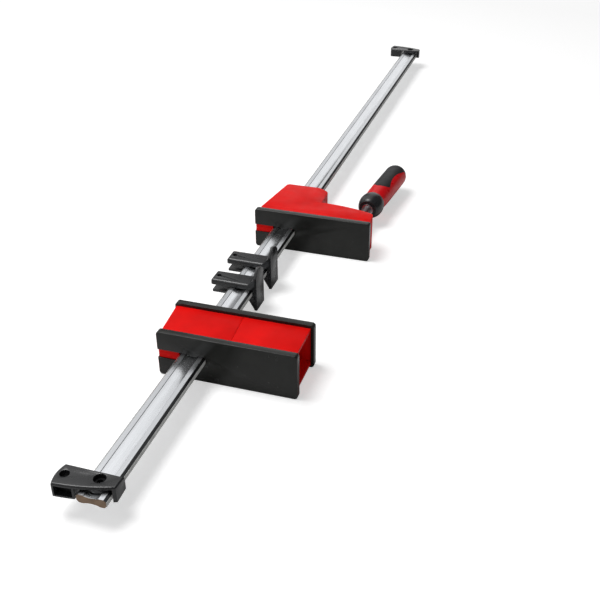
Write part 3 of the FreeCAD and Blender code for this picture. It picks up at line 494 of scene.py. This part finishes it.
def add_rings(build, rings, climb=0):
    """A closed body from rings of (place, radius) pairs, one pair for each step round the axis.

    A ring may run on, after one turn, into the ring that lies some places further on.
    """
    loops = []
    for ring in rings:
        loop = []
        for step, (along, radius) in enumerate(ring):
            angle = 2 * math.pi * step / ROUND_STEPS
            place = mm(radius * math.cos(angle), along, radius * math.sin(angle))
            loop.append(build.verts.new(place))
        loops.append(loop)
    faces = [loops[0], loops[-1]]
    for place in range(len(loops) - 1):
        low, high = loops[place:place + 2]
        for i in range(ROUND_STEPS - 1):
            faces.append((low[i], low[i + 1], high[i + 1], high[i]))
        if place + 1 + climb < len(loops):
            low_end, high_end = loops[place + climb:place + 2 + climb]
            faces.append((low[-1], low_end[0], high_end[0], high[-1]))
    for corners in faces:
        build.faces.new(corners)


def even_ring(along, radius):
    """A level, round ring."""
    return [(along, radius)] * ROUND_STEPS


def thread_rings():
    """Rings that climb one pitch in each turn, cut level at both ends of the screw."""
    start, end = SPINDLE_SCREW
    root = min(radius for _, radius in THREAD_FORM)
    rings = []
    for turn in range(-1, math.ceil((end - start) / THREAD_PITCH) + 1):
        for offset, radius in THREAD_FORM:
            ring = []
            for step in range(ROUND_STEPS):
                along = start + THREAD_PITCH * (turn + step / ROUND_STEPS) + offset
                inside = start < along < end
                ring.append((min(max(along, start), end), radius if inside else root))
            rings.append(ring)
    return rings


def hexagon_ring(along):
    """A ring on the outline of the key socket, with one of its steps at each corner."""
    ring = []
    for step in range(ROUND_STEPS):
        angle = 2 * math.pi * step / ROUND_STEPS
        off_flat = (angle % (math.pi / 3)) - math.pi / 6
        ring.append((along, HEXAGON_WIDTH / 2 / math.cos(off_flat)))
    return ring


def make_spindle():
    """The spindle as nose, screw and shaft, with the key socket in its end."""
    build = bmesh.new()
    tail = SPINDLE_SHAFT[1]
    add_rings(build, [even_ring(along, NOSE_RADIUS) for along in SPINDLE_NOSE])
    add_rings(build, thread_rings(), climb=len(THREAD_FORM))
    shaft = [even_ring(along, SHAFT_RADIUS) for along in SPINDLE_SHAFT]
    add_rings(build, shaft + [hexagon_ring(tail), hexagon_ring(tail - HEXAGON_DEPTH)])
    bmesh.ops.remove_doubles(build, verts=build.verts, dist=SEAM_REACH)
    bmesh.ops.recalc_face_normals(build, faces=build.faces)
    build.transform(Matrix.Translation(SPINDLE_PLACE) @ Matrix.Rotation(-SPINDLE_LEAN, 4, "Z"))
    mesh = bpy.data.meshes.new("spindle_screw")
    mesh.materials.append(MATERIALS["screw_steel"])
    build.to_mesh(mesh)
    build.free()
    piece = make_piece("spindle_screw", mesh, "handle", "spindle_steel", "spindle")
    soften(piece, 0)


make_camera()
make_rail()
make_spindle()


# Floor, which glows for the camera and more so further out, in metres
FLOOR_SIZE = 16
FLOOR_PLACE = (0, 0.4, 0)
FLOOR_GREY = (0.78, 0.78, 0.78, 1)
FLOOR_GLOW = (0.5, 1.0)
FLOOR_GLOW_REACH = (1.2, 3.5)


def make_floor():
    """A plain pale floor."""
    mesh = bpy.data.meshes.new("floor")
    build = bmesh.new()
    bmesh.ops.create_grid(build, x_segments=1, y_segments=1, size=FLOOR_SIZE / 2)
    build.to_mesh(mesh)
    build.free()
    floor = bpy.data.objects.new("floor", mesh)
    floor.location = FLOOR_PLACE
    scene.collection.objects.link(floor)

    material = bpy.data.materials.new("floor")
    material.use_nodes = True
    tree = material.node_tree
    tree.nodes.clear()
    output = tree.nodes.new("ShaderNodeOutputMaterial")
    matt = tree.nodes.new("ShaderNodeBsdfDiffuse")
    matt.inputs["Color"].default_value = FLOOR_GREY
    glow = tree.nodes.new("ShaderNodeEmission")
    total = tree.nodes.new("ShaderNodeAddShader")
    path = tree.nodes.new("ShaderNodeLightPath")
    spot = tree.nodes.new("ShaderNodeTexCoord")
    reach = tree.nodes.new("ShaderNodeVectorMath")
    reach.operation = "LENGTH"
    tree.links.new(spot.outputs["Object"], reach.inputs[0])
    strength = map_range(tree, reach.outputs["Value"], FLOOR_GLOW_REACH, FLOOR_GLOW)
    seen = combine(tree, "MULTIPLY", path.outputs["Is Camera Ray"], strength)
    tree.links.new(seen, glow.inputs["Strength"])
    tree.links.new(matt.outputs[0], total.inputs[0])
    tree.links.new(glow.outputs[0], total.inputs[1])
    tree.links.new(total.outputs[0], output.inputs["Surface"])
    floor.data.materials.append(material)


# World: strengths of its light, dimmest and brightest
WHITE = (1, 1, 1, 1)
FADE_IN = (0, 1)
FADE_OUT = (1, 0)
BOX_STRENGTHS = (0.08, 0.95)
SOFT_STRENGTHS = (0.36, 0.12)
# Its softboxes, seen only in reflections. A pair is where an edge begins and ends: a turn from +Y
# towards +X in radians, or how far a direction of length 1 goes along X or Z. The upper box's
# foot climbs with the turn, and all boxes are dimmer in front.
BACK_BOX_LEFT = (-0.43, -0.39)
BACK_BOX_RIGHT = (0.12, 0.26)
BACK_BOX_TOP = (0.70, 0.80)
SIDE_BOX_RIGHT = (-0.70, -0.62)
SIDE_BOX_FOOT = (0.15, 0.30)
UPPER_BOX_TURN = (-1, 1)
UPPER_BOX_SLANT = (0.5, -0.5)
UPPER_BOX_RIGHT = (0.1, 0.5)
UPPER_BOX_FOOT = (0.72, 0.80)
FRONT_TURN = (-2.2, -1.2)
FRONT_SHARE = (0.45, 1)


def make_world():
    """White for the camera, softboxes for reflections and even soft light for the rest."""
    world = bpy.data.worlds.new("studio")
    world.use_nodes = True
    scene.world = world
    tree = world.node_tree
    tree.nodes.clear()
    output = tree.nodes.new("ShaderNodeOutputWorld")
    path = tree.nodes.new("ShaderNodeLightPath")
    spot = tree.nodes.new("ShaderNodeTexCoord")
    split = tree.nodes.new("ShaderNodeSeparateXYZ")
    link = tree.links.new
    link(spot.outputs["Generated"], split.inputs[0])
    x, y, z = split.outputs
    turn = combine(tree, "ARCTAN2", x, y)
    back_left = map_range(tree, turn, BACK_BOX_LEFT, FADE_IN)
    back_right = map_range(tree, turn, BACK_BOX_RIGHT, FADE_OUT)
    back_top = map_range(tree, z, BACK_BOX_TOP, FADE_OUT)
    back_width = combine(tree, "MULTIPLY", back_left, back_right)
    back = combine(tree, "MULTIPLY", back_width, back_top)
    side_right = map_range(tree, turn, SIDE_BOX_RIGHT, FADE_OUT)
    side_foot = map_range(tree, z, SIDE_BOX_FOOT, FADE_IN)
    side = combine(tree, "MULTIPLY", side_right, side_foot)
    slant = map_range(tree, turn, UPPER_BOX_TURN, UPPER_BOX_SLANT)
    slanted = combine(tree, "ADD", z, slant)
    upper_right = map_range(tree, x, UPPER_BOX_RIGHT, FADE_OUT)
    upper_foot = map_range(tree, slanted, UPPER_BOX_FOOT, FADE_IN)
    upper = combine(tree, "MULTIPLY", upper_right, upper_foot)
    boxes = combine(tree, "MAXIMUM", combine(tree, "MAXIMUM", back, side), upper)
    front = map_range(tree, turn, FRONT_TURN, FRONT_SHARE)
    boxes = combine(tree, "MULTIPLY", boxes, front)
    dome = tree.nodes.new("ShaderNodeBackground")
    link(map_range(tree, boxes, FADE_IN, BOX_STRENGTHS), dome.inputs["Strength"])
    soft = tree.nodes.new("ShaderNodeBackground")
    link(map_range(tree, x, (-1, 1), SOFT_STRENGTHS), soft.inputs["Strength"])
    white = tree.nodes.new("ShaderNodeBackground")
    for ground in (dome, soft, white):
        ground.inputs["Color"].default_value = WHITE
    glossy = tree.nodes.new("ShaderNodeMixShader")
    seen = tree.nodes.new("ShaderNodeMixShader")
    link(path.outputs["Is Glossy Ray"], glossy.inputs["Fac"])
    link(soft.outputs[0], glossy.inputs[1])
    link(dome.outputs[0], glossy.inputs[2])
    link(path.outputs["Is Camera Ray"], seen.inputs["Fac"])
    link(glossy.outputs[0], seen.inputs[1])
    link(white.outputs[0], seen.inputs[2])
    link(seen.outputs[0], output.inputs["Surface"])


# Lamps: name, place, target, size and power
LAMPS = (
    ("key", (-0.85, 0.05, 2.3), (0, 0.15, 0.03), 1.3, 40),
    ("fill", (-1.6, -1.6, 1.9), (0, 0.2, 0.03), 2.4, 7),
)


def make_lamp(name, place, target, size, power):
    """A round lamp that shines from one place at another."""
    data = bpy.data.lights.new(name, "AREA")
    data.shape = "DISK"
    data.size = size
    data.energy = power
    lamp = bpy.data.objects.new(name, data)
    lamp.location = place
    way = Vector(target) - Vector(place)
    lamp.rotation_mode = "QUATERNION"
    lamp.rotation_quaternion = way.to_track_quat("-Z", "Y")
    scene.collection.objects.link(lamp)


make_floor()
make_world()
for lamp in LAMPS:
    make_lamp(*lamp)
